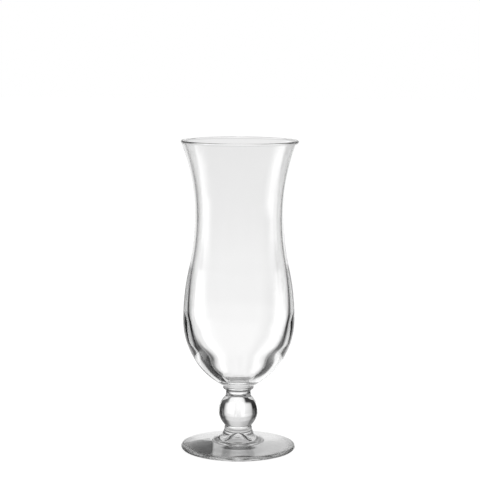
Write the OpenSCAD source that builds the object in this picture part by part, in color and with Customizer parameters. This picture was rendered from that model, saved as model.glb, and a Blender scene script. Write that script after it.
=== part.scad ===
// Hurricane cocktail glass. Four pieces of clear glass are fused end to end
// on one axis: a pressed foot, a ball stem, a thin joining wafer and a bowl
// that narrows at a waist and flares to the rim. Each piece is a revolved
// section, and each stands on the flat seat of the piece below it.
// Millimetres, +Z up, origin on the table under the middle of the foot.

/* [Bowl outside] */
// Height of the bowl, from its seat on the wafer to the top of the rim
bowl_h = 163.6; // [150:0.1:180]
// Outer diameter of the rim
rim_d = 77.4; // [66:0.1:90]
// Outer diameter of the waist, the narrowest place
waist_d = 58.4; // [50:0.1:64]
// Height of the waist above the bowl's seat
waist_h = 113.8; // [95:0.1:130]
// Outer diameter of the belly, the widest place low down
belly_d = 74; // [68:0.1:84]
// Height of the belly above the bowl's seat
belly_h = 45; // [38:0.1:54]
// Where the outline turns from waist to belly, as a share of the way up
turn_share = 0.5; // [0.35:0.01:0.65]

/* [Bowl inside] */
// Wall just below the rounded rim
rim_wall = 1.6; // [1.2:0.1:3]
// How much thicker than that wall the rounded rim is
bead_more = 0.2; // [0.1:0.1:0.8]
// Radius of the hollow corners where the rim runs into the wall
bead_fillet = 2; // [1:0.1:3]
// Wall at the waist
waist_wall = 1.8; // [1.2:0.1:3]
// Wall where the inside is widest
belly_wall = 3.8; // [2:0.1:5]
// Height of the widest place inside, above the bowl's seat
hollow_h = 51.4; // [46:0.1:60]
// How far the inner wall swells inwards where the solid base begins
swell_t = 0.55; // [0.05:0.05:0.9]
// Height of the middle of that swelling above the bowl's seat
swell_h = 21; // [18:0.1:26]
// Height over which the wall swells and falls back
swell_span = 21; // [14:0.1:24]
// Diameter of the dished floor inside
floor_d = 20.6; // [18:0.1:26]
// Depth of the floor's dish
floor_dish = 0.8; // [0.4:0.1:2]
// Glass under the middle of the floor
floor_wall = 7; // [5.5:0.1:9]

/* [Joining wafer] */
// Outer diameter of the wafer, over its rounded edge
wafer_d = 20.6; // [19:0.1:24]
// Thickness of the wafer
wafer_t = 1.8; // [1.2:0.1:3]

/* [Ball stem] */
// Height of the stem between its two seats
stem_h = 25.4; // [24.5:0.1:32]
// Diameter of the ball
ball_d = 26.2; // [24:0.1:28]
// Height of the ball's centre above the stem's lower seat
ball_h = 10.5; // [10.4:0.1:11.4]
// Diameter of the neck above the ball
upper_neck_d = 16.8; // [14:0.1:18]
// Diameter of the neck below the ball and of the seat on the foot
lower_neck_d = 18.3; // [18:0.1:21]
// Radius of the hollow corners between the ball and its necks
neck_fillet = 2; // [1:0.1:2.2]
// Height of the flare that widens the upper neck to the wafer
neck_flare_h = 1.9; // [1:0.1:2.4]

/* [Foot] */
// Diameter of the foot
foot_d = 76; // [68:0.1:84]
// Height of the foot, from the table to the seat of the stem
foot_h = 15.2; // [13:0.1:18]
// Radius of the sweep from the seat down to the top of the foot
foot_sweep = 9; // [6:0.1:11]
// Thickness of the foot's rounded edge
edge_t = 2.8; // [2:0.1:4]
// Gap between the rounded edge and the table
edge_lift = 0.3; // [0.1:0.1:0.8]
// Inset of the flat resting ring, from the foot's edge to its middle
rest_inset = 3; // [2.8:0.1:5]
// Width of that ring
rest_w = 2; // [1.4:0.1:2.6]
// Rise of the underside from the resting ring to the boss, which keeps the
// foot about as thick all the way in
under_rise = 2.8; // [2:0.1:3.4]
// Diameter of the low boss under the stem, where it leaves the underside
boss_d = 34; // [30:0.1:38]
// Diameter of the boss's flat face
boss_face_d = 24; // [23.4:0.1:27]
// Height of the boss, from the underside down to its face
boss_h = 1.3; // [0.6:0.1:1.7]
// Diameter of the kick-up, the bell-shaped hollow in the boss
kick_d = 22; // [17:0.1:23]
// Depth of the kick-up, up from the boss's face
kick_h = 9; // [6:0.1:10]
// Power that narrows the top of the bell: 1 is round, more is slimmer
kick_power = 1.5; // [1:0.1:2.4]

/* [Hidden] */

// Straight steps in each arc of a section
arc_steps = 20;
// Segments around the axis
$fn = 128;

stem_z = foot_h;
wafer_z = stem_z + stem_h;
bowl_z = wafer_z + wafer_t;
rim_z = bowl_z + bowl_h;
// Both faces of the wafer end where its rounded edge starts, and the seats
// of the stem and of the bowl end there too
wafer_seat_r = (wafer_d - wafer_t) / 2;

// Points of the arc about a centre, from one angle to another
function arc_about(centre, radius, from, to) =
    [for (i = [0:arc_steps]) let (a = from + (to - from) * i / arc_steps)
        centre + radius * [cos(a), sin(a)]];

// Points of the arc that leaves point a straight up or down and ends at
// point b. Points are [distance from the axis, height].
function arc_between(a, b) =
    let (
        across = b[0] - a[0],
        up = b[1] - a[1],
        radius = (across * across + up * up) / (2 * across),
        sweep = atan2(abs(up), abs(radius) - abs(across))
    )
    [for (i = [0:arc_steps]) let (t = sweep * i / arc_steps)
        a + [radius * (1 - cos(t)), sign(up) * abs(radius) * sin(t)]];

// The same arc, but level where it leaves point a
function level_arc(a, b) =
    [for (p = arc_between([a[1], a[0]], [b[1], b[0]])) [p[1], p[0]]];

// Points from a down or up to b in an S-curve that is level at both ends, and
// is narrower at a for a power above 1
function bell(a, b, power = 1) =
    [for (i = [0:arc_steps]) let (t = i / arc_steps, share = pow((1 + cos(180 * t)) / 2, power))
        [a[0] + t * (b[0] - a[0]), b[1] + share * (a[1] - b[1])]];

// The same points from last to first
function reversed(points) = [for (i = [len(points) - 1:-1:0]) points[i]];

// The same points without the first, which the run before already ends on
function onward(points) = [for (i = [1:len(points) - 1]) points[i]];

// The side of the bowl from a low point up to the rim. It stands straight
// at its widest and narrowest places and is smooth where its arcs meet.
function side(low, belly, waist, rim) =
    let (turn = belly + turn_share * (waist - belly))
    concat(
        reversed(arc_between(belly, low)),
        onward(arc_between(belly, turn)),
        onward(reversed(arc_between(waist, turn))),
        onward(arc_between(waist, rim))
    );

// How far the inner wall stands inwards at a height
function swell(z) =
    let (off = min(1, abs(z - bowl_z - swell_h) / (swell_span / 2)))
    swell_t * (1 + cos(180 * off)) / 2;

module bowl() {
    waist_z = bowl_z + waist_h;
    // Lean of the flare at the rim, so that the rounded rim runs on from it
    flare = 2 * atan((rim_d - waist_d) / 2 / (rim_z - waist_z));
    bead_r = (rim_wall + bead_more) / 2;
    bead = [rim_d / 2 - bead_r, rim_z - bead_r];
    // Each hollow corner under the rim touches the wall's side and the rim
    corner_out = (rim_wall / 2 + bead_fillet) * [cos(flare), -sin(flare)];
    corner_down = sqrt(pow(bead_r + bead_fillet, 2) - pow(rim_wall / 2 + bead_fillet, 2))
        * [-sin(flare), -cos(flare)];
    past = acos((rim_wall / 2 + bead_fillet) / (bead_r + bead_fillet));
    outer_corner = arc_about(bead + corner_out + corner_down, bead_fillet,
        180 - flare, 180 - flare - past);
    inner_corner = arc_about(bead - corner_out + corner_down, bead_fillet,
        past - flare, -flare);
    floor_z = bowl_z + floor_wall;
    floor_edge = [floor_d / 2, floor_z + floor_dish];
    outside = side(
        [wafer_seat_r, bowl_z],
        [belly_d / 2, bowl_z + belly_h],
        [waist_d / 2, waist_z],
        outer_corner[0]
    );
    inside = side(
        floor_edge,
        [belly_d / 2 - belly_wall, bowl_z + hollow_h],
        [waist_d / 2 - waist_wall, waist_z],
        inner_corner[arc_steps]
    );
    color("aliceblue", 0.5)
        rotate_extrude()
            polygon(concat(
                [[0, bowl_z]],
                outside,
                onward(outer_corner),
                onward(arc_about(bead, bead_r, -flare - past, 180 - flare + past)),
                onward(inner_corner),
                onward(reversed([for (p = inside) [p[0] - swell(p[1]), p[1]]])),
                onward(reversed(level_arc([0, floor_z], floor_edge)))
            ));
}

module wafer() {
    edge = [wafer_seat_r, wafer_z + wafer_t / 2];
    color("azure", 0.6)
        rotate_extrude()
            polygon(concat(
                [[0, wafer_z]],
                arc_about(edge, wafer_t / 2, -90, 90),
                [[0, wafer_z + wafer_t]]
            ));
}

module ball_stem() {
    ball_r = ball_d / 2;
    ball = [0, stem_z + ball_h];
    // Each hollow corner touches the neck's side and the ball from outside
    low_r = lower_neck_d / 2 + neck_fillet;
    low_reach = sqrt(pow(ball_r + neck_fillet, 2) - pow(low_r, 2));
    low_lean = acos(low_r / (ball_r + neck_fillet));
    high_r = upper_neck_d / 2 + neck_fillet;
    high_reach = sqrt(pow(ball_r + neck_fillet, 2) - pow(high_r, 2));
    high_lean = acos(high_r / (ball_r + neck_fillet));
    color("lightcyan", 0.6)
        rotate_extrude()
            polygon(concat(
                [[0, stem_z], [lower_neck_d / 2, stem_z]],
                arc_about(ball + [low_r, -low_reach], neck_fillet,
                    180, 180 - low_lean),
                onward(arc_about(ball, ball_r, -low_lean, high_lean)),
                onward(arc_about(ball + [high_r, high_reach], neck_fillet,
                    180 + high_lean, 180)),
                arc_between([upper_neck_d / 2, wafer_z - neck_flare_h],
                    [wafer_seat_r, wafer_z]),
                [[0, wafer_z]]
            ));
}

module foot() {
    seat_r = lower_neck_d / 2;
    edge_r = edge_t / 2;
    sweep = [seat_r + foot_sweep, foot_h];
    edge = [foot_d / 2 - edge_r, edge_lift + edge_r];
    // The top of the foot is the straight line that touches the hollow sweep
    // from below and the rounded edge from above
    apart = edge - sweep;
    slope = -atan2(apart[1], apart[0])
        - asin((foot_sweep + edge_r) / norm(apart));
    rest_out = foot_d / 2 - rest_inset + rest_w / 2;
    rest_in = rest_out - rest_w;
    face_z = under_rise - boss_h;
    color("lightblue", 0.6)
        rotate_extrude()
            polygon(concat(
                [[0, foot_h]],
                arc_about(sweep, foot_sweep, 180, 270 - slope),
                arc_about(edge, edge_r, 90 - slope, -90),
                [[rest_out, 0], [rest_in, 0]],
                bell([boss_d / 2, under_rise], [boss_face_d / 2, face_z]),
                reversed(bell([0, face_z + kick_h], [kick_d / 2, face_z], kick_power))
            ));
}

foot();
ball_stem();
wafer();
bowl();
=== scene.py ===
# %% [markdown]
# # A hurricane glass, and how clear glass is photographed
# The object is a footed cocktail glass: a pressed foot, a stem with one ball,
# a thin wafer and a bowl that narrows at a waist and flares to the rim. All
# four are bodies of revolution, so each could be a stack of cylinders and
# spheres, a subdivided cage or a drawn section that is spun round its axis.
# The spun section is chosen, because glass shows every flat facet twice, once
# on each wall, and only a section with many fine steps bends light smoothly.
# The CAD model is the fixed frame: it gives the size, and each piece made
# here takes the place of the CAD solid of the same name.

# %% Load the frame and keep its box
import math

import bpy
from mathutils import Matrix, Vector


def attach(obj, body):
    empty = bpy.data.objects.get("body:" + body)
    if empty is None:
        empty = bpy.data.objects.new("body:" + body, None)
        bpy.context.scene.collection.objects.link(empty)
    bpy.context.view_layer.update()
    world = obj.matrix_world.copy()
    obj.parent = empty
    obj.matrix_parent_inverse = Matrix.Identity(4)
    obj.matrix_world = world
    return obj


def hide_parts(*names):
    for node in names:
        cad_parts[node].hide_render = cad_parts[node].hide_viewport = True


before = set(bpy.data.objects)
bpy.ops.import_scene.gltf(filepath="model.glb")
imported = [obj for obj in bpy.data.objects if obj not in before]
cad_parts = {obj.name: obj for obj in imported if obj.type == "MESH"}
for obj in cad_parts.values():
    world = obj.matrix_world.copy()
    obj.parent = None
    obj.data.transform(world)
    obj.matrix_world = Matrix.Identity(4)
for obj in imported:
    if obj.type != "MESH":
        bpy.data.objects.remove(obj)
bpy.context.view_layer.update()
print("CAD nodes:", sorted(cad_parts))

# %% [markdown]
# ## The camera
# The photograph is taken with a long lens from a little over a metre, a hand's
# breadth above the rim's height, looking slightly down. The lens and the place
# were found by measuring how round the rim and the foot look. The camera could
# be aimed with a constraint, but a fixed matrix is plainer and stays put.
# The picture's width, the focal length and the place of the glass's axis across
# the picture are in pixels.

# %% Set up the camera
FRAME_PX = 480
FOCAL_PX = 1636.0
AXIS_PX = 239.3
CAMERA_PLACE = (0.0, -1.070, 0.2742)
LOOK_DOWN = math.radians(7.14)
ROLL = math.radians(0.35)

camera_data = bpy.data.cameras.new("camera")
camera_data.sensor_width = 36.0
camera_data.lens = FOCAL_PX / FRAME_PX * camera_data.sensor_width
camera_data.shift_x = (FRAME_PX / 2 - AXIS_PX) / FRAME_PX
camera_data.clip_start = 0.01
camera = bpy.data.objects.new("camera", camera_data)
bpy.context.collection.objects.link(camera)
camera.matrix_world = (
    Matrix.Translation(CAMERA_PLACE)
    @ Matrix.Rotation(math.radians(90) - LOOK_DOWN, 4, "X")
    @ Matrix.Rotation(ROLL, 4, "Z")
)
bpy.context.scene.camera = camera
print(f"Lens {camera_data.lens:.1f} mm on {camera_data.sensor_width:.0f} mm")

# %% [markdown]
# ## Drawing a section
# A section is a list of points, each its distance from the axis and its height
# in millimetres. Glass is drawn with arcs that run into each other, as a
# mould maker turns them. Two steps decide how clean the refraction is: the
# length of a step along an arc, and small extra steps at both ends of a
# straight run, without which the shading of the arc beside it creeps into it.

# %% Helpers that draw arcs and straight runs
STEP = 0.97


def steps_for(length):
    """How many steps a run of this length gets."""
    return max(6, math.ceil(length / STEP))


def arc_about(centre, radius, start, end):
    """Points of the arc about a centre between two angles in degrees."""
    count = steps_for(abs(math.radians(end - start)) * radius)
    angles = [math.radians(start + (end - start) * i / count) for i in range(count + 1)]
    return [(centre[0] + radius * math.cos(a), centre[1] + radius * math.sin(a)) for a in angles]


def standing_arc(a, b):
    """The arc that leaves point a straight up or down and ends at point b."""
    across, up = b[0] - a[0], b[1] - a[1]
    radius = (across * across + up * up) / (2 * across)
    sweep = math.atan2(abs(up), abs(radius) - abs(across))
    count = steps_for(abs(radius) * sweep)
    turns = [sweep * i / count for i in range(count + 1)]
    rise = math.copysign(abs(radius), up)
    return [(a[0] + radius * (1 - math.cos(t)), a[1] + rise * math.sin(t)) for t in turns]


def level_arc(a, b):
    """The same arc, but level where it leaves point a."""
    return [(r, z) for z, r in standing_arc((a[1], a[0]), (b[1], b[0]))]


def bell(a, b, power=1.0):
    """An S-curve from a to b, level at both ends, slimmer at a for a power above 1."""
    count = 2 * steps_for(math.dist(a, b))
    points = []
    for i in range(count + 1):
        t = i / count
        share = ((1 + math.cos(math.pi * t)) / 2) ** power
        points.append((a[0] + t * (b[0] - a[0]), b[1] + share * (a[1] - b[1])))
    return points


def straight(a, b, support=0.06):
    """A straight run with close steps at both ends, which keep its shading straight."""
    length = math.dist(a, b)
    count = max(1, int(length / (2 * STEP)))
    middle = [i / count for i in range(1, count)]
    shares = [0, support / length, *middle, 1 - support / length, 1]
    return [(a[0] + t * (b[0] - a[0]), a[1] + t * (b[1] - a[1])) for t in shares]


def joined(*runs):
    """One list of points, without those that repeat the one before."""
    points = []
    for run in runs:
        for point in run:
            if not points or math.dist(point, points[-1]) > 1e-5:
                points.append(point)
    return points


# %% [markdown]
# ## Spinning a section
# A plane is added and merged to one vertex, the vertex is extruded along the
# section, and the whole line is spun round the axis. The seam and the poles are
# closed by merging doubles, and then the normals are turned outwards, because
# glass that is inside out bends light the wrong way.

# %% Helper that spins a section into a closed piece
SEGMENTS = 256
SHARP_CORNER = math.radians(34)
MERGE_WITHIN = 2e-6


def spin_section(name, points):
    """A closed piece of glass from a section that starts and ends on the axis."""
    bpy.ops.object.select_all(action="DESELECT")
    bpy.ops.mesh.primitive_plane_add(size=0.001, location=(0, 0, 0))
    piece = bpy.context.object
    piece.name = piece.data.name = name
    bpy.ops.object.mode_set(mode="EDIT")
    bpy.ops.mesh.select_all(action="SELECT")
    bpy.ops.mesh.merge(type="CENTER")
    here = (0.0, 0.0)
    for number, (r, z) in enumerate(points):
        move = ((r - here[0]) / 1000, 0, (z - here[1]) / 1000)
        if number == 0:
            bpy.ops.transform.translate(value=move)
        else:
            bpy.ops.mesh.extrude_vertices_move(TRANSFORM_OT_translate={"value": move})
        here = (r, z)
    bpy.ops.mesh.select_all(action="SELECT")
    bpy.ops.mesh.spin(steps=SEGMENTS, angle=2 * math.pi, center=(0, 0, 0), axis=(0, 0, 1))
    bpy.ops.mesh.select_all(action="SELECT")
    bpy.ops.mesh.remove_doubles(threshold=MERGE_WITHIN)
    bpy.ops.mesh.normals_make_consistent(inside=False)
    bpy.ops.object.mode_set(mode="OBJECT")
    bpy.ops.object.shade_smooth_by_angle(angle=SHARP_CORNER)
    triangles = sum(len(face.vertices) - 2 for face in piece.data.polygons)
    print(f"{name}: {len(points)} points, {triangles} triangles")
    return piece


# %% [markdown]
# ## The foot
# A pressed foot is about as thick all the way in, so its underside rises with
# its top. It stands on a narrow ring near the edge. Under the stem a low boss
# holds the kick-up, a bell-shaped hollow that the plunger leaves; seen through
# the glass it is the small bright arch under the stem. A disc with a sculpted
# underside could be modelled from a cylinder, but one section holds both faces
# and keeps the glass between them as thick as it should be.

# %% Draw and spin the foot
FOOT_D, FOOT_H, SEAT_D = 76.0, 15.2, 18.3
FOOT_SWEEP, EDGE_T, EDGE_LIFT = 9.0, 2.8, 0.3
REST_INSET, REST_W, UNDER_RISE = 3.0, 2.0, 2.8
BOSS_D, BOSS_FACE_D, BOSS_H = 34.0, 24.0, 1.3
KICK_D, KICK_H, KICK_POWER = 22.0, 9.0, 1.5

sweep = (SEAT_D / 2 + FOOT_SWEEP, FOOT_H)
edge_r = EDGE_T / 2
edge = (FOOT_D / 2 - edge_r, EDGE_LIFT + edge_r)
apart = (edge[0] - sweep[0], edge[1] - sweep[1])
slope = math.degrees(
    -math.atan2(apart[1], apart[0]) - math.asin((FOOT_SWEEP + edge_r) / math.hypot(*apart))
)
sweep_arc = arc_about(sweep, FOOT_SWEEP, 180, 270 - slope)
edge_arc = arc_about(edge, edge_r, 90 - slope, -90)
rest_out = FOOT_D / 2 - REST_INSET + REST_W / 2
rest_in = rest_out - REST_W
face_z = UNDER_RISE - BOSS_H
foot = spin_section("foot_glass", joined(
    straight((0, FOOT_H), (SEAT_D / 2, FOOT_H)),
    sweep_arc,
    straight(sweep_arc[-1], edge_arc[0]),
    edge_arc,
    straight(edge_arc[-1], (rest_out, 0)),
    straight((rest_out, 0), (rest_in, 0)),
    straight((rest_in, 0), (BOSS_D / 2, UNDER_RISE)),
    bell((BOSS_D / 2, UNDER_RISE), (BOSS_FACE_D / 2, face_z)),
    straight((BOSS_FACE_D / 2, face_z), (KICK_D / 2, face_z)),
    bell((0, face_z + KICK_H), (KICK_D / 2, face_z), KICK_POWER)[::-1],
))

# %% [markdown]
# ## The ball stem
# The ball is a full sphere between two short necks, with small hollow corners
# where it runs into them. The upper neck flares to the wafer. A sphere joined to
# cylinders with a boolean would meet them in a crease, and glass shows a crease
# as a dark line, so the corners are drawn as arcs that touch ball and neck.

# %% Draw and spin the ball stem
STEM_H, BALL_D, BALL_H = 25.4, 26.2, 10.5
UPPER_NECK_D, LOWER_NECK_D, NECK_FILLET, NECK_FLARE_H = 16.8, 18.3, 2.0, 1.9
WAFER_D, WAFER_T = 20.6, 1.8

wafer_z = FOOT_H + STEM_H
wafer_seat_r = (WAFER_D - WAFER_T) / 2
ball = (0, FOOT_H + BALL_H)


def corner(neck_d):
    """The hollow corner beside a neck: its distance out, its height from the ball, its lean."""
    out = neck_d / 2 + NECK_FILLET
    reach = BALL_D / 2 + NECK_FILLET
    return out, math.sqrt(reach**2 - out**2), math.degrees(math.acos(out / reach))


low_out, low_reach, low_lean = corner(LOWER_NECK_D)
high_out, high_reach, high_lean = corner(UPPER_NECK_D)
low_corner = arc_about((low_out, ball[1] - low_reach), NECK_FILLET, 180, 180 - low_lean)
high_corner = arc_about((high_out, ball[1] + high_reach), NECK_FILLET, 180 + high_lean, 180)
neck_flare = standing_arc((UPPER_NECK_D / 2, wafer_z - NECK_FLARE_H), (wafer_seat_r, wafer_z))
ball_stem = spin_section("ball_stem_glass", joined(
    straight((0, FOOT_H), (LOWER_NECK_D / 2, FOOT_H)),
    straight((LOWER_NECK_D / 2, FOOT_H), low_corner[0]),
    low_corner,
    arc_about(ball, BALL_D / 2, -low_lean, high_lean),
    high_corner,
    straight(high_corner[-1], neck_flare[0]),
    neck_flare,
    straight((wafer_seat_r, wafer_z), (0, wafer_z)),
))

# %% [markdown]
# ## The wafer
# A thin disc of glass joins bowl and stem. Its edge is fire polished round. A
# cylinder with a bevelled edge would do as well. It is spun like the others, so
# that its round edge has as many sides as the pieces it sits between.

# %% Draw and spin the wafer
bowl_z = wafer_z + WAFER_T
wafer = spin_section("wafer_glass", joined(
    straight((0, wafer_z), (wafer_seat_r, wafer_z)),
    arc_about((wafer_seat_r, wafer_z + WAFER_T / 2), WAFER_T / 2, -90, 90),
    straight((wafer_seat_r, bowl_z), (0, bowl_z)),
))

# %% [markdown]
# ## The bowl
# Outside and inside are drawn as two sides of four arcs each, which stand
# straight at the belly and at the waist. The wall is thin at the waist and
# thickens downwards to a solid base, so the hollow is rounder at the bottom
# than the outside. Where the base begins the inner wall swells inwards by half
# a millimetre, which gives the two dark bands of the lower bowl their slight S.
# The fire-polished rim is a bead barely thicker than the wall, so the light
# line round it is soft and double. The bowl could be a surface with a Solidify
# modifier, but one even thickness would lose all three.

# %% Draw and spin the bowl
BOWL_H, RIM_D, WAIST_D, WAIST_H = 163.6, 77.4, 58.4, 113.8
BELLY_D, BELLY_H, TURN_SHARE = 74.0, 45.0, 0.5
RIM_WALL, BEAD_MORE, BEAD_FILLET = 1.6, 0.2, 2.0
WAIST_WALL, BELLY_WALL, HOLLOW_H = 1.8, 3.8, 51.4
SWELL_T, SWELL_H, SWELL_SPAN = 0.55, 21.0, 21.0
FLOOR_D, FLOOR_DISH, FLOOR_WALL = 20.6, 0.8, 7.0

rim_z = bowl_z + BOWL_H
waist_z = bowl_z + WAIST_H


def side(low, belly, waist, rim):
    """One side of the wall, from its lowest point to the rim."""
    turn = tuple(b + TURN_SHARE * (w - b) for b, w in zip(belly, waist))
    return joined(
        standing_arc(belly, low)[::-1], standing_arc(belly, turn),
        standing_arc(waist, turn)[::-1], standing_arc(waist, rim),
    )


flare = 2 * math.degrees(math.atan((RIM_D - WAIST_D) / 2 / (rim_z - waist_z)))
bead_r = (RIM_WALL + BEAD_MORE) / 2
bead = (RIM_D / 2 - bead_r, rim_z - bead_r)
fillet_out = RIM_WALL / 2 + BEAD_FILLET
fillet_reach = math.sqrt((bead_r + BEAD_FILLET) ** 2 - fillet_out**2)
past = math.degrees(math.acos(fillet_out / (bead_r + BEAD_FILLET)))


def beside_bead(across, along):
    """A place beside the bead: so far across the wall and so far down along it."""
    lean = math.radians(flare)
    return (bead[0] + across * math.cos(lean) - along * math.sin(lean),
            bead[1] - across * math.sin(lean) - along * math.cos(lean))


outer_fillet = arc_about(
    beside_bead(fillet_out, fillet_reach), BEAD_FILLET, 180 - flare, 180 - flare - past
)
bead_arc = arc_about(bead, bead_r, -flare - past, 180 - flare + past)
inner_fillet = arc_about(
    beside_bead(-fillet_out, fillet_reach), BEAD_FILLET, past - flare, -flare
)
floor_edge = (FLOOR_D / 2, bowl_z + FLOOR_WALL + FLOOR_DISH)
outside = side(
    (wafer_seat_r, bowl_z),
    (BELLY_D / 2, bowl_z + BELLY_H),
    (WAIST_D / 2, waist_z),
    outer_fillet[0],
)
inside = side(
    floor_edge,
    (BELLY_D / 2 - BELLY_WALL, bowl_z + HOLLOW_H),
    (WAIST_D / 2 - WAIST_WALL, waist_z),
    inner_fillet[-1],
)


def swell(z):
    """How far the inner wall stands inwards at a height, where the solid base begins."""
    off = min(1, abs(z - bowl_z - SWELL_H) / (SWELL_SPAN / 2))
    return SWELL_T * (1 + math.cos(math.pi * off)) / 2


bowl = spin_section("bowl_glass", joined(
    straight((0, bowl_z), (wafer_seat_r, bowl_z)),
    outside,
    outer_fillet,
    bead_arc,
    inner_fillet,
    [(r - swell(z), z) for r, z in inside[::-1]],
    level_arc((0, bowl_z + FLOOR_WALL), floor_edge)[::-1],
))

# %% [markdown]
# ## The finish of clear glass
# Clear glass has almost no colour of its own. What makes it look real is small:
# a slow waviness from the mould, a very faint haze where hands and cloths have
# been, and on the foot the ring that has scratched on tables. One shader with
# full transmission does this, with roughness and bump from noise in Object
# coordinates. A mix of separate glass and gloss shaders would also work, but
# would not leave the file as one glass that other programs understand.

# %% Helpers that add nodes
def node(tree, kind, **sockets):
    """A new node with some of its input values set by name."""
    new = tree.nodes.new(kind)
    for name, value in sockets.items():
        new.inputs[name.replace("_", " ")].default_value = value
    return new


def maths(tree, operation, first, second=None):
    """A Math node's result for one or two values or links."""
    new = tree.nodes.new("ShaderNodeMath")
    new.operation = operation
    for number, value in enumerate([first] if second is None else [first, second]):
        if isinstance(value, (int, float)):
            new.inputs[number].default_value = value
        else:
            tree.links.new(value, new.inputs[number])
    return new.outputs[0]


def noise(tree, scale, detail=2.0):
    """Noise in the object's own coordinates, with features about 1/scale metres wide."""
    place = tree.nodes.new("ShaderNodeTexCoord")
    new = node(tree, "ShaderNodeTexNoise", Scale=scale, Detail=detail)
    tree.links.new(place.outputs["Object"], new.inputs["Vector"])
    return new.outputs["Fac"]


def between(tree, value, low, high, start=0.0, end=1.0):
    """Maps a value that runs from low to high onto start to end, and no further."""
    new = node(tree, "ShaderNodeMapRange", From_Min=low, From_Max=high, To_Min=start, To_Max=end)
    tree.links.new(value, new.inputs["Value"])
    return new.outputs[0]


# %% [markdown]
# Light that has entered glass and wants to leave at a shallow angle stays in
# it. The index of refraction of soda-lime glass, 1.5, decides where that
# happens, so it is the one number here that is not to taste. The mould's waves
# are about 26 mm long and three hundredths of a millimetre deep, the haze comes
# in patches of 18 mm, and the scratches of the worn ring are under half a
# millimetre apart.

# %% Make the glass
GLASS_IOR = 1.5
WAVES_PER_M, WAVE_DEPTH = 38.0, 0.00003
HAZE_PER_M, MOST_HAZE = 55.0, 0.015
SCRATCHES_PER_M, WORN_HAZE, SCRATCH_HAZE = 2600.0, 0.12, 0.3
WORN_UP_TO, CLEAN_FROM = 0.0001, 0.0005


def clear_glass(name, worn_ring=None):
    """Clear glass with a slow waviness, a faint haze and, where given, a worn ring underneath."""
    material = bpy.data.materials.new(name)
    material.use_nodes = True
    tree = material.node_tree
    shader = tree.nodes["Principled BSDF"]
    shader.inputs["Base Color"].default_value = (1.0, 1.0, 1.0, 1)
    shader.inputs["Transmission Weight"].default_value = 1.0
    shader.inputs["IOR"].default_value = GLASS_IOR
    haze = between(tree, noise(tree, HAZE_PER_M, 4.0), 0.60, 0.80, 0.0, MOST_HAZE)
    if worn_ring:
        place = tree.nodes.new("ShaderNodeTexCoord")
        parts = tree.nodes.new("ShaderNodeSeparateXYZ")
        tree.links.new(place.outputs["Object"], parts.inputs[0])
        low = between(tree, parts.outputs["Z"], WORN_UP_TO, CLEAN_FROM, 1.0, 0.0)
        scratches = between(tree, noise(tree, SCRATCHES_PER_M, 3.0), 0.45, 0.62)
        rough = maths(tree, "ADD", maths(tree, "MULTIPLY", scratches, SCRATCH_HAZE), WORN_HAZE)
        haze = maths(tree, "MAXIMUM", haze, maths(tree, "MULTIPLY", low, rough))
    tree.links.new(haze, shader.inputs["Roughness"])
    bump = node(tree, "ShaderNodeBump", Strength=1.0, Distance=WAVE_DEPTH)
    tree.links.new(noise(tree, WAVES_PER_M, 1.0), bump.inputs["Height"])
    tree.links.new(bump.outputs[0], shader.inputs["Normal"])
    return material


bowl_finish = clear_glass("blown clear glass")
stem_finish = clear_glass("pressed clear glass")
foot_finish = clear_glass("pressed clear glass, worn underneath", worn_ring=True)
print("Glass finishes:", bowl_finish.name, "/", stem_finish.name, "/", foot_finish.name)

# %% [markdown]
# The pieces are fused, so no light turns where one ends and the next begins.
# The two faces that touch there get a fully transparent finish. Each piece
# stays a closed solid, and the joint is still invisible. One joined mesh would
# look the same, but then the glass would no longer be an assembly.

# %% Dress the pieces and hide the fused seats
SEAT_WITHIN = 1e-6
LEVEL_ENOUGH = 0.999

fused = bpy.data.materials.new("fused seat")
fused.use_nodes = True
fused.node_tree.nodes.clear()
clear = fused.node_tree.nodes.new("ShaderNodeBsdfTransparent")
surface = fused.node_tree.nodes.new("ShaderNodeOutputMaterial")
fused.node_tree.links.new(clear.outputs[0], surface.inputs["Surface"])


def dress(piece, finish, seats):
    """Gives a piece its finish, and the fused finish to its flat faces at these heights."""
    piece.data.materials.append(finish)
    piece.data.materials.append(fused)
    count = 0
    for face in piece.data.polygons:
        at_seat = any(abs(face.center.z - z / 1000) < SEAT_WITHIN for z in seats)
        if at_seat and abs(face.normal.z) > LEVEL_ENOUGH:
            face.material_index = 1
            count += 1
    print(f"{piece.name}: {count} faces are fused to a neighbour")


dress(foot, foot_finish, [FOOT_H])
dress(ball_stem, stem_finish, [FOOT_H, wafer_z])
dress(wafer, stem_finish, [wafer_z, bowl_z])
dress(bowl, bowl_finish, [bowl_z])

# %% [markdown]
# Nothing on a glass moves, so every piece rides on the one body of the frame.
# Each stands in for the CAD solid of its name, which is then not drawn. All four
# have a finish from the same clear glass shader, because the whole object is one
# kind of glass.

# %% Put each piece in the frame
for piece, cad_node in ((foot, "foot"), (ball_stem, "ball_stem"), (wafer, "wafer"), (bowl, "bowl")):
    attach(piece, "root")
    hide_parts(cad_node)
    print(f"{piece.name} stands in for {cad_node}")

# %% [markdown]
# ## Light for clear glass
# Glass has no face to light. It shows what stands round it, bent: a white
# panel behind it gives the bright middle, black cards at its sides give the
# dark lines along the edges, and narrow lights give the white strips. So the
# glass stands in a round tent whose cloth is painted by direction, in five
# bands from below the table to above the glass. The tent hangs on the camera,
# as when the glass turns on a turntable and the set stays, so every view gets
# the same panel, cards and lights. Only rays that glass bends or mirrors see it.
# Separate panels and cards would work too, but each would need its own place and
# size, and on the cloth a light is moved by changing one number. The levels go
# up to 2. A ramp's colours are kept within 1, so the ramp holds half of each
# level, and the cloth's strength of about 2 brings it back.

# %% Helpers that paint the tent
def height_at(degrees):
    """How high a direction points, from -1 to 1, at an angle of elevation."""
    return math.sin(math.radians(degrees))


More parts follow.
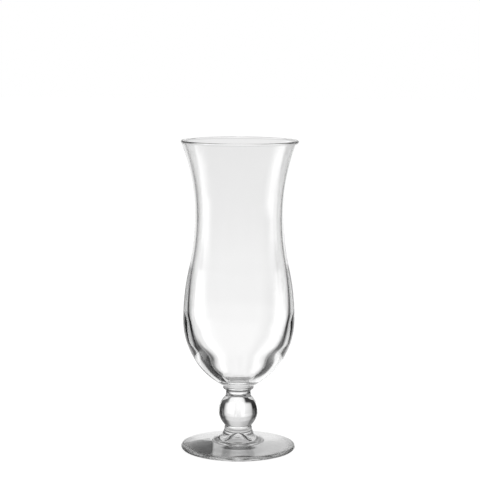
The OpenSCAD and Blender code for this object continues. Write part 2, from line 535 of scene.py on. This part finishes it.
def cloth_band(tree, turn, stops):
    """Brightness by direction: stops of degrees from straight behind the glass, and level."""
    ramp = tree.nodes.new("ShaderNodeValToRGB")
    tree.links.new(turn, ramp.inputs[0])
    points = ramp.color_ramp.elements
    while len(points) > 1:
        points.remove(points[-1])
    for number, (degrees, level) in enumerate(stops):
        along = (degrees + 180) / 360
        point = points[0] if number == 0 else points.new(along)
        point.position = along
        point.color = (level / 2, level / 2, level / 2, 1)
    return ramp.outputs[0]


def mixed(tree, share, first, second):
    """One colour mixed into another by a share."""
    mix = tree.nodes.new("ShaderNodeMix")
    mix.data_type = "RGBA"
    tree.links.new(share, mix.inputs[0])
    tree.links.new(first, mix.inputs[6])
    tree.links.new(second, mix.inputs[7])
    return mix.outputs[2]


def blend_bands(tree, height, below, above, low, high):
    """Fades from the band below to the one above between two angles of elevation."""
    fade = node(tree, "ShaderNodeMapRange", From_Min=height_at(low), From_Max=height_at(high))
    fade.interpolation_type = "SMOOTHSTEP"
    tree.links.new(height, fade.inputs["Value"])
    return mixed(tree, fade.outputs[0], below, above)


# %% Mix the tent's five bands
BELOW = [
    (-180, .25), (-100, .25), (-90, .6), (-64, .6), (-62, .02), (-19, .03),
    (-14, .8), (-7, .97), (7, 1.0), (22, .9),
    (28, .2), (34, .10), (62, .06), (64, .6), (90, .6), (100, .25), (180, .25),
]
TABLE_LEVEL = [
    (-180, .2), (-100, .2), (-80, 1.5), (-68, 1.5), (-66, .01), (-37, .01), (-32, .55), (-27, .72),
    (-15, .9), (-13, 1.0), (-11, 1.22), (-9, 1.24), (-7, 1.12), (-5, 1.02), (-3.5, 1), (3, 1),
    (3.4, .99), (4.5, .95), (5.5, .92), (7, .97), (9, 1.12), (14, 1.15), (21, 1.1),
    (27, .85), (32, .55), (37, .05), (66, .05), (68, 1.5), (80, 1.5), (100, .2), (180, .2),
]
NEAR_LEVEL = [
    (-180, .2), (-100, .2), (-80, 1.5), (-68, 1.5), (-66, .02), (-37, .02), (-33, .55), (-27, .82),
    (-13, 1.12), (-10, 1.25), (-8, 1.22), (-6.5, 1.12), (-4, 1.04), (-3.4, 1), (3, 1),
    (3.5, 1.22), (4.8, 1.22), (6.4, .94), (7.2, .95), (8.5, 1.12), (14, 1.1),
    (28, .85), (33, .5), (37, .03), (66, .05), (68, 1.5), (80, 1.5), (100, .2), (180, .2),
]
GLASS_LEVEL = [
    (-180, .2), (-100, .2), (-80, .12), (-37, .03), (-33, .3), (-28, .6),
    (-15, .8), (0, .86), (15, .87), (22, .83),
    (28, .6), (34, .05), (80, .08), (100, .2), (180, .2),
]
ABOVE = [
    (-180, .2), (-100, .3), (-80, .3), (-38, .2), (-32, .15), (-27, .45),
    (-13, .6), (-4.5, .75), (4, .80), (20, .72),
    (26, .3), (33, .08), (80, .14), (100, .2), (180, .2),
]
# Each band above the lowest, and the elevations between which it fades in
UPPER_BANDS = (
    (TABLE_LEVEL, -32, -25), (NEAR_LEVEL, -6.1, -5.2), (GLASS_LEVEL, -2, 3), (ABOVE, 9.5, 14),
)
for name, stops in (("below", BELOW), ("table", TABLE_LEVEL), ("near", NEAR_LEVEL),
                    ("glass", GLASS_LEVEL), ("above", ABOVE)):
    print(f"Band {name}: {len(stops)} stops, levels up to {max(level for _, level in stops)}")

# %% [markdown]
# The tent is a sphere with this cloth. Towards the table it glows a little more,
# as a white table throws light back up.

# %% Paint and hang the tent
TENT_R, TENT_MIDDLE = 6.0, (0, 0, 0.1)

bpy.ops.object.select_all(action="DESELECT")
bpy.ops.mesh.primitive_uv_sphere_add(
    segments=64, ring_count=32, radius=TENT_R, location=TENT_MIDDLE
)
tent = bpy.context.object
tent.name = "light_tent"
cloth = bpy.data.materials.new("tent cloth")
cloth.use_nodes = True
tree = cloth.node_tree
tree.nodes.clear()
place = tree.nodes.new("ShaderNodeTexCoord")
direction = tree.nodes.new("ShaderNodeVectorMath")
direction.operation = "NORMALIZE"
tree.links.new(place.outputs["Object"], direction.inputs[0])
parts = tree.nodes.new("ShaderNodeSeparateXYZ")
tree.links.new(direction.outputs[0], parts.inputs[0])
angle = maths(tree, "ARCTAN2", parts.outputs["X"], parts.outputs["Y"])
turn = between(tree, angle, -math.pi, math.pi)
height = parts.outputs["Z"]
painted = cloth_band(tree, turn, BELOW)
for stops, low, high in UPPER_BANDS:
    painted = blend_bands(tree, height, painted, cloth_band(tree, turn, stops), low, high)
strength = between(tree, height, height_at(-8.5), height_at(-3), 1.99, 1.8)
more_below = between(tree, height, height_at(-16), height_at(-11), 0.16, 0.0)
glow = tree.nodes.new("ShaderNodeEmission")
tree.links.new(maths(tree, "ADD", strength, more_below), glow.inputs["Strength"])
surface = tree.nodes.new("ShaderNodeOutputMaterial")
tree.links.new(painted, glow.inputs["Color"])
tree.links.new(glow.outputs[0], surface.inputs["Surface"])
tent.data.materials.append(cloth)
tent.visible_camera = tent.visible_diffuse = tent.visible_shadow = False
bpy.context.view_layer.update()
tent.parent = camera
tent.matrix_parent_inverse = camera.matrix_world.inverted()
print(f"Tent of {TENT_R} m radius hung on the camera")

# %% [markdown]
# Under the foot lies a small glowing tile, painted with the shade and light of
# the floor there: dull, dark painted shade at the left, and polished pale grey
# painted light at the right. The eye looks down through the foot onto it, so its
# shade is the shade of the foot. The painted shade gets lighter outwards, and the
# back glows white as painted light. Two spots are painted shadows: the one that
# the ring of the boss throws forward and the one under the front edge. The tent's
# ramp helper paints it too: a degree of the ramp is a millimetre here, and the
# glow of 1 leaves half of each level.

# %% Helpers that paint the tile
RAMP_END = 0.180


def away_from(tree, parts, middle, stretch):
    """Distance in metres from a middle in millimetres, with Y stretched against X."""
    across = maths(tree, "SUBTRACT", parts.outputs["X"], middle[0] / 1000)
    along = maths(tree, "SUBTRACT", parts.outputs["Y"], middle[1] / 1000)
    along = maths(tree, "MULTIPLY", along, stretch)
    squares = maths(
        tree, "ADD", maths(tree, "MULTIPLY", across, across), maths(tree, "MULTIPLY", along, along)
    )
    return maths(tree, "SQRT", squares)


def tile_band(tree, distance, stops):
    """Brightness by a distance in metres: stops of millimetres, and level."""
    return cloth_band(tree, between(tree, distance, -RAMP_END, RAMP_END), stops)


# %% Lay the tile under the foot
TILE_R, TILE_BELOW = 0.0395, 0.0002
# Where the painted shade at the left turns into the painted light at the right
PAINTED_SHADE_TO, PAINTED_LIGHT_FROM = -0.017, -0.0155
WHITE_IN, WHITE_FROM, BACK_WHITE = 0.015, 0.020, 0.85
# Each painted shadow spot: its middle, its stretch, where its edge begins and ends, its levels
PAINTED_SHADOW_SPOTS = (
    ((0.5, -7.5), 1.8, (10.5, 12.5), [(0, .18), (5, .18), (8, .12), (11, .10)]),
    ((4, -33), 1.7, (6, 9), [(0, .02), (9, .02)]),
)

bpy.ops.object.select_all(action="DESELECT")
bpy.ops.mesh.primitive_circle_add(
    vertices=96, radius=TILE_R, fill_type="NGON", location=(0, 0, -TILE_BELOW)
)
tile = bpy.context.object
tile.name = "tile_of_painted_shade_under_foot"
tile_finish = bpy.data.materials.new("polished tile with painted shade and light")
tile_finish.use_nodes = True
tree = tile_finish.node_tree
tree.nodes.clear()
place = tree.nodes.new("ShaderNodeTexCoord")
parts = tree.nodes.new("ShaderNodeSeparateXYZ")
tree.links.new(place.outputs["Object"], parts.inputs[0])
backwards = maths(tree, "MULTIPLY", parts.outputs["Y"], 0.4)
outwards = maths(tree, "SUBTRACT", backwards, parts.outputs["X"])
# Painted shade at the left, lighter outwards, and painted light at the right
dark = tile_band(tree, outwards, [(11, .09), (18, .1), (23, .15), (28, .28), (31, .42), (34, .9)])
pale = tile_band(tree, parts.outputs["X"], [(-15, .75), (10, .95), (40, 1.0)])
rightwards = between(tree, parts.outputs["X"], PAINTED_SHADE_TO, PAINTED_LIGHT_FROM)
shade = mixed(tree, rightwards, dark, pale)
# The back glows white: painted light of the lit floor behind the shade
white = node(tree, "ShaderNodeRGB")
white.outputs[0].default_value = (BACK_WHITE, BACK_WHITE, BACK_WHITE, 1)
at_back = between(tree, parts.outputs["Y"], WHITE_IN, WHITE_FROM)
shade = mixed(tree, at_back, shade, white.outputs[0])
polished = rightwards
# Each spot mixes a painted shadow into the shade and dulls the polish there
for middle, stretch, (edge_from, edge_to), levels in PAINTED_SHADOW_SPOTS:
    far = away_from(tree, parts, middle, stretch)
    outside_it = between(tree, far, edge_from / 1000, edge_to / 1000)
    shade = mixed(tree, outside_it, tile_band(tree, far, levels), shade)
    polished = maths(tree, "MULTIPLY", polished, between(tree, outside_it, 0, 1, 0.3, 1.0))
glow = node(tree, "ShaderNodeEmission", Strength=1.0)
tree.links.new(shade, glow.inputs["Color"])
polish = node(tree, "ShaderNodeBsdfGlossy", Roughness=0.0)
share = node(tree, "ShaderNodeFresnel", IOR=GLASS_IOR)
both = tree.nodes.new("ShaderNodeMixShader")
tree.links.new(maths(tree, "MULTIPLY", share.outputs[0], polished), both.inputs[0])
tree.links.new(glow.outputs[0], both.inputs[1])
tree.links.new(polish.outputs[0], both.inputs[2])
surface = tree.nodes.new("ShaderNodeOutputMaterial")
tree.links.new(both.outputs[0], surface.inputs["Surface"])
tile.data.materials.append(tile_finish)
tile.visible_camera = tile.visible_diffuse = tile.visible_shadow = False
print(f"Tile of {TILE_R * 2000:.0f} mm laid under the foot, with {len(PAINTED_SHADOW_SPOTS)} soft spots")

# %% [markdown]
# The top of the foot also mirrors what stands just behind it, and that would
# veil the dark left side. A small black card there takes the veil away. It
# could be painted on the tent, but then the ball would show it too. So close to
# the foot it is seen in the foot's top alone, and only as a mirror image.

# %% Stand the card behind the left of the foot
CARD_H, CARD_WIDTH_SHARE = 0.032, 0.62
CARD_PLACE = (-0.033, 0.045, 0.030)
CARD_GLOW = 0.03

bpy.ops.object.select_all(action="DESELECT")
bpy.ops.mesh.primitive_plane_add(
    size=CARD_H, location=CARD_PLACE, rotation=(math.radians(90), 0, 0)
)
card = bpy.context.object
card.name = "black_card"
card.scale.x = CARD_WIDTH_SHARE
card_finish = bpy.data.materials.new("black card")
card_finish.use_nodes = True
tree = card_finish.node_tree
tree.nodes.clear()
black = node(tree, "ShaderNodeEmission", Color=(1, 1, 1, 1), Strength=CARD_GLOW)
surface = tree.nodes.new("ShaderNodeOutputMaterial")
tree.links.new(black.outputs[0], surface.inputs["Surface"])
card.data.materials.append(card_finish)
card.visible_camera = card.visible_diffuse = False
card.visible_shadow = card.visible_transmission = False
print(f"Card {CARD_H * 1000:.0f} mm high stood behind the foot")

# %% [markdown]
# ## Floor and background
# The photograph is cut out on pure white. The floor and the world are white to
# the camera by their own colour, not by more light on the glass. Part of the
# floor's white is real light, so that it still keeps a faint shadow.

# %% Lay the floor
FLOOR_W = 12.0

bpy.ops.object.select_all(action="DESELECT")
bpy.ops.mesh.primitive_plane_add(size=FLOOR_W, location=(0, 0, 0))
floor = bpy.context.object
floor.name = "floor"
floor_finish = bpy.data.materials.new("white sweep")
floor_finish.use_nodes = True
tree = floor_finish.node_tree
shader = tree.nodes["Principled BSDF"]
shader.inputs["Base Color"].default_value = (0.30, 0.30, 0.30, 1)
shader.inputs["Roughness"].default_value = 0.9
shader.inputs["Specular IOR Level"].default_value = 0.0
shader.inputs["Emission Color"].default_value = (1, 1, 1, 1)
shader.inputs["Emission Strength"].default_value = 0.85
floor.data.materials.append(floor_finish)
floor.visible_glossy = floor.visible_transmission = False
print(f"Floor {FLOOR_W:.0f} m wide laid")

# %% [markdown]
# The world is plain white where the camera sees it, directly or through glass,
# and dimmer where it lights the floor. Two soft lamps give the floor its faint
# shadow. They don't show in the glass, because the tent has its own lights.

# %% Set the world and the lamps
world = bpy.data.worlds.new("studio")
bpy.context.scene.world = world
world.use_nodes = True
tree = world.node_tree
tree.nodes.clear()
rays = tree.nodes.new("ShaderNodeLightPath")
bent = maths(tree, "MAXIMUM", rays.outputs["Is Glossy Ray"], rays.outputs["Is Transmission Ray"])
seen = maths(tree, "MAXIMUM", rays.outputs["Is Camera Ray"], bent)
white = node(tree, "ShaderNodeBackground", Color=(1, 1, 1, 1), Strength=1.0)
soft = node(tree, "ShaderNodeBackground", Color=(1, 1, 1, 1), Strength=0.55)
both = tree.nodes.new("ShaderNodeMixShader")
surface = tree.nodes.new("ShaderNodeOutputWorld")
tree.links.new(seen, both.inputs[0])
tree.links.new(soft.outputs[0], both.inputs[1])
tree.links.new(white.outputs[0], both.inputs[2])
tree.links.new(both.outputs[0], surface.inputs["Surface"])


def lamp(name, place, aim, size, watts):
    """A square soft lamp that shines from a place towards a point."""
    data = bpy.data.lights.new(name, "AREA")
    data.size = size
    data.energy = watts
    new = bpy.data.objects.new(name, data)
    bpy.context.collection.objects.link(new)
    new.location = place
    towards = Vector(aim) - Vector(place)
    new.rotation_euler = towards.to_track_quat("-Z", "Y").to_euler()
    new.visible_glossy = new.visible_transmission = False
    print(f"Lamp {name}: {watts} W")


GLASS_MIDDLE = (0, 0, 0.1)
lamp("key", (0.9, -0.6, 1.3), GLASS_MIDDLE, 0.8, 9.0)
lamp("fill", (-1.1, -0.5, 1.0), GLASS_MIDDLE, 0.9, 5.0)

# %% [markdown]
# A ray meets four surfaces on its straight way through the bowl, and many more
# in the solid base, where it is mirrored to and fro. A ray that runs out of
# bounces inside the glass turns black, so the limits are raised.

# %% Let light pass through many walls
MANY_WALLS = 24

scene = bpy.context.scene
scene.view_settings.view_transform = "Standard"
scene.cycles.max_bounces = MANY_WALLS
scene.cycles.transmission_bounces = MANY_WALLS
scene.cycles.transparent_max_bounces = MANY_WALLS
scene.cycles.glossy_bounces = MANY_WALLS // 2
print("Bounces:", scene.cycles.max_bounces)
